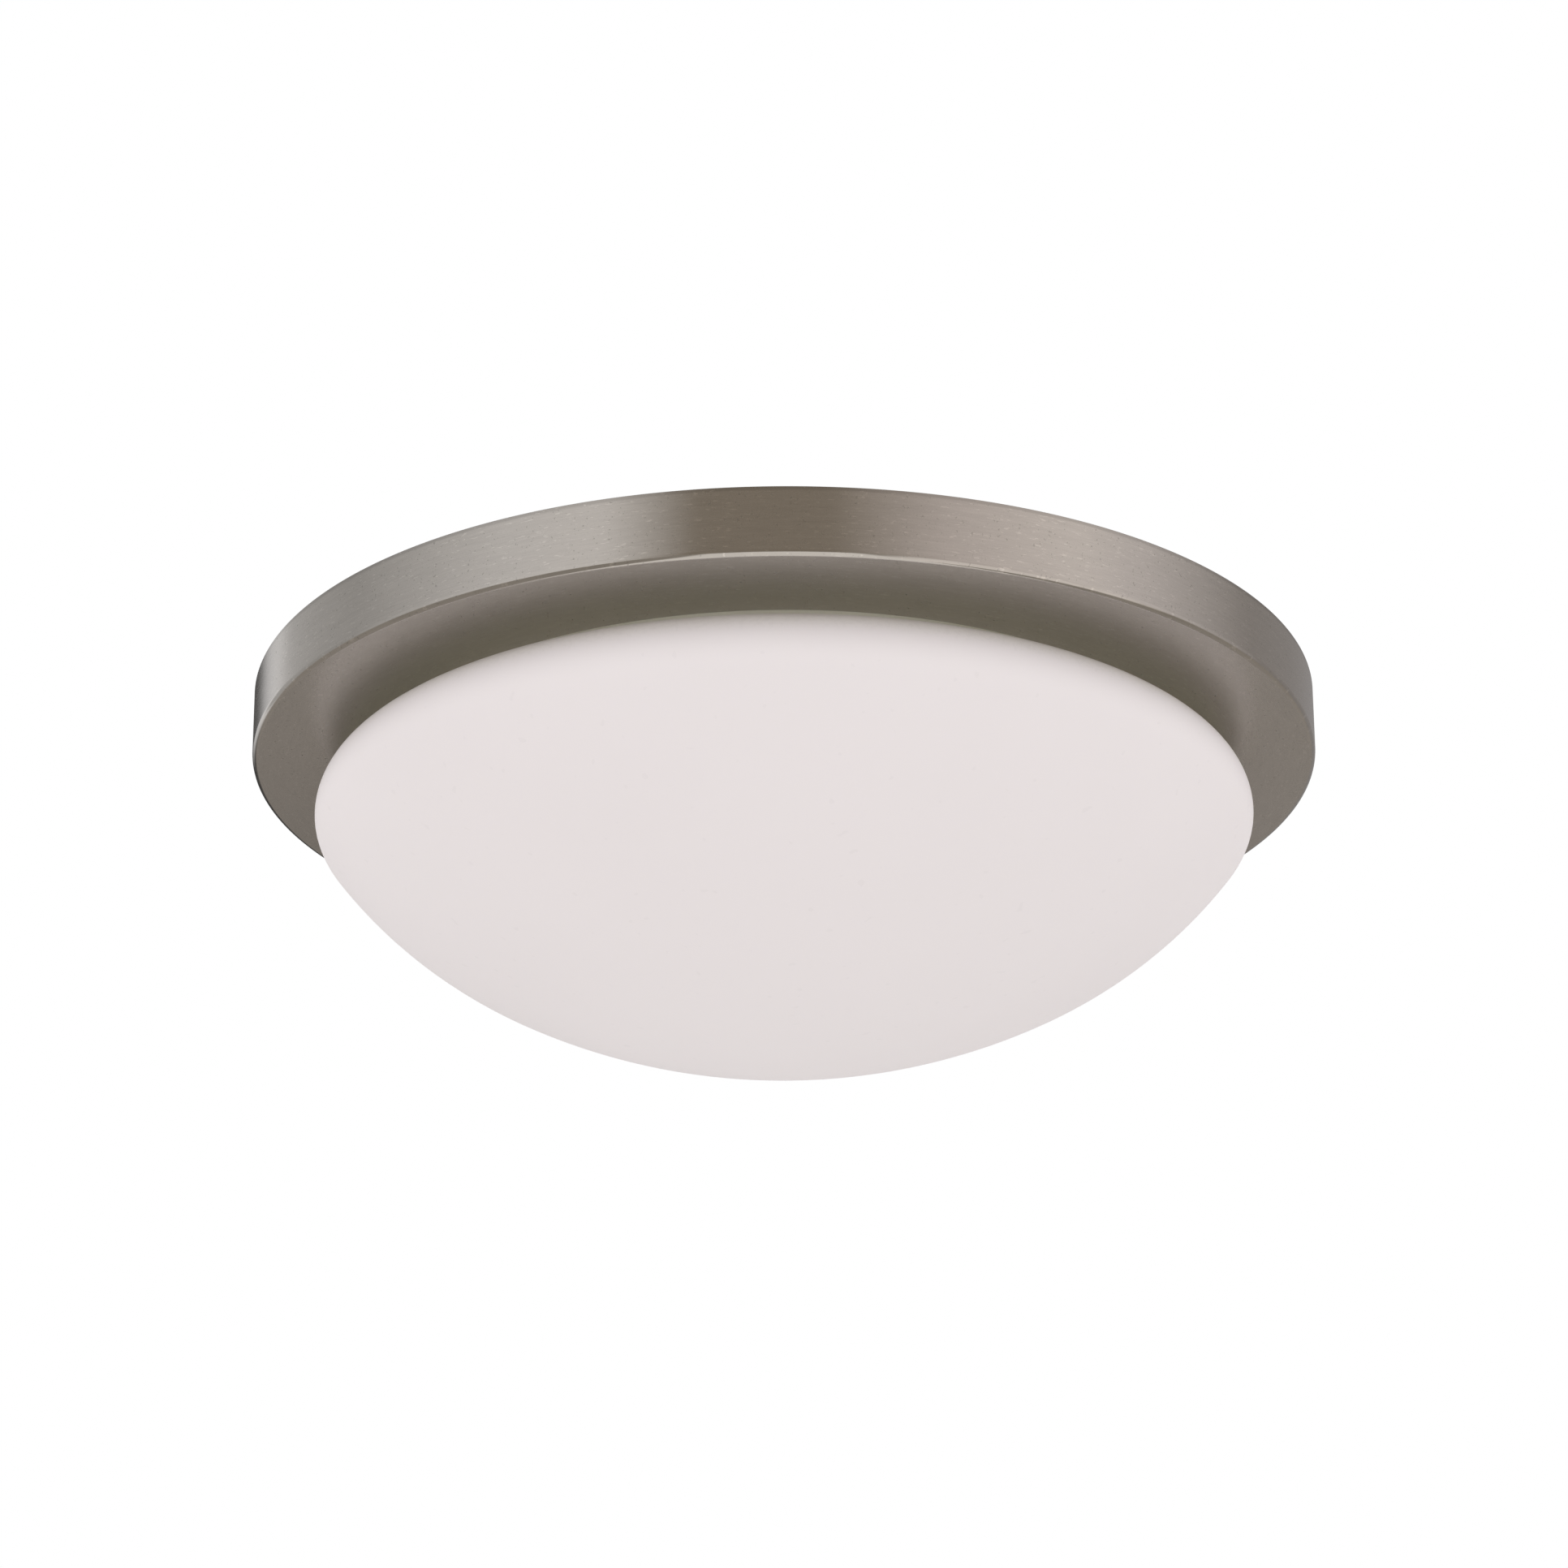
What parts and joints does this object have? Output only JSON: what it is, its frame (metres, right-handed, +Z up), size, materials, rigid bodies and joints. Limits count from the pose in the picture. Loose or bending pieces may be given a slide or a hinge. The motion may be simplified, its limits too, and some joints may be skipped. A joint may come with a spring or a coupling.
{
  "type": "flush mount ceiling light",
  "caption": "Round flush mount ceiling light: brushed nickel pan, snap-in opal glass bowl, and inside it lamps on screw-base holders that unscrew, leads, terminal block and mounting strap.",
  "frame": {"origin": "centre of the ring where the pan meets the ceiling, in the ceiling plane", "axes": "+Z up into the ceiling; +X along the mounting strap, between its box-screw slots; +Y away from the picture's camera"},
  "size_m": [0.336, 0.336, 0.112],
  "materials": {
    "brushed_nickel": "brushed nickel plate, satin",
    "zinc_plate": "zinc plated steel",
    "opal_glass": "opal glass, acid etched outside",
    "frosted_glass": "frosted white inside",
    "porcelain": "glazed white",
    "brass": "plain",
    "aluminium_shell": "rolled thread",
    "bright_aluminium": "bright rolled sheet",
    "spring_steel": "hardened strip",
    "green_screw": "green passivated",
    "glass_wool": "yellow glass wool",
    "silicone": "translucent white silicone",
    "black_plastic": "nylon",
    "block_plastic": "polyamide",
    "black_lead": "insulation",
    "white_lead": "insulation",
    "black_glass": "vitrite",
    "solder": "solder button"
  },
  "bodies": {
    "fixture": {"pan": "brushed_nickel", "mounting_strap": "zinc_plate", "pan_screws": "zinc_plate", "ground_screw": "green_screw", "insulation_pad": "glass_wool", "reflector": "bright_aluminium", "wire_bushing": "black_plastic", "glass_clip_1": "spring_steel", "glass_clip_2": "spring_steel", "glass_clip_3": "spring_steel", "clip_rivets": "zinc_plate", "bracket_rivets": "zinc_plate", "terminal_block": "block_plastic", "terminal_barrels": "brass", "terminal_screws": "zinc_plate", "block_screw": "zinc_plate", "line_lead_a": "black_lead", "neutral_lead_a": "white_lead", "line_lead_b": "black_lead", "neutral_lead_b": "white_lead", "lamp_holder_a": "porcelain", "screw_shell_a": "aluminium_shell", "contact_strip_a": "brass", "holder_screws_a": "zinc_plate", "holder_bracket_a": "zinc_plate", "lamp_holder_b": "porcelain", "screw_shell_b": "aluminium_shell", "contact_strip_b": "brass", "holder_screws_b": "zinc_plate", "holder_bracket_b": "zinc_plate"},
    "cushion": {"cushion_ring": "silicone"},
    "bowl": {"glass_bowl": "opal_glass"},
    "lamp_a_carrier": {"bulb_insulator_a": "black_glass", "bulb_contact_a": "solder"},
    "lamp_a": {"bulb_glass_a": "frosted_glass", "bulb_base_a": "aluminium_shell"},
    "lamp_b_carrier": {"bulb_insulator_b": "black_glass", "bulb_contact_b": "solder"},
    "lamp_b": {"bulb_glass_b": "frosted_glass", "bulb_base_b": "aluminium_shell"}
  },
  "joints": [
    {"name": "glass_turn", "type": "hinge", "parent": "fixture", "child": "cushion", "pos_m": [0, 0, 0], "axis": [0, 0, 1], "continuous": true},
    {"name": "glass_lower", "type": "slide", "parent": "cushion", "child": "bowl", "axis": [0, 0, -1], "range_m": [0, 0.085], "deforming": ["glass_clip_1", "glass_clip_2", "glass_clip_3"]},
    {"name": "lamp_a_out", "type": "slide", "parent": "fixture", "child": "lamp_a_carrier", "axis": [1, 0, 0], "range_m": [0, 0.01635]},
    {"name": "lamp_a_turn", "type": "hinge", "parent": "lamp_a_carrier", "child": "lamp_a", "pos_m": [0, 0.034, -0.046], "axis": [1, 0, 0], "range_deg": [0, 1620]},
    {"name": "lamp_b_out", "type": "slide", "parent": "fixture", "child": "lamp_b_carrier", "axis": [-1, 0, 0], "range_m": [0, 0.01635]},
    {"name": "lamp_b_turn", "type": "hinge", "parent": "lamp_b_carrier", "child": "lamp_b", "pos_m": [0, -0.034, -0.046], "axis": [-1, 0, 0], "range_deg": [0, 1620]}
  ],
  "couplings": [
    {"joint": "lamp_a_out", "follows": "lamp_a_turn", "m_per_rad": 0.0005775},
    {"joint": "lamp_b_out", "follows": "lamp_b_turn", "m_per_rad": 0.0005775}
  ]
}
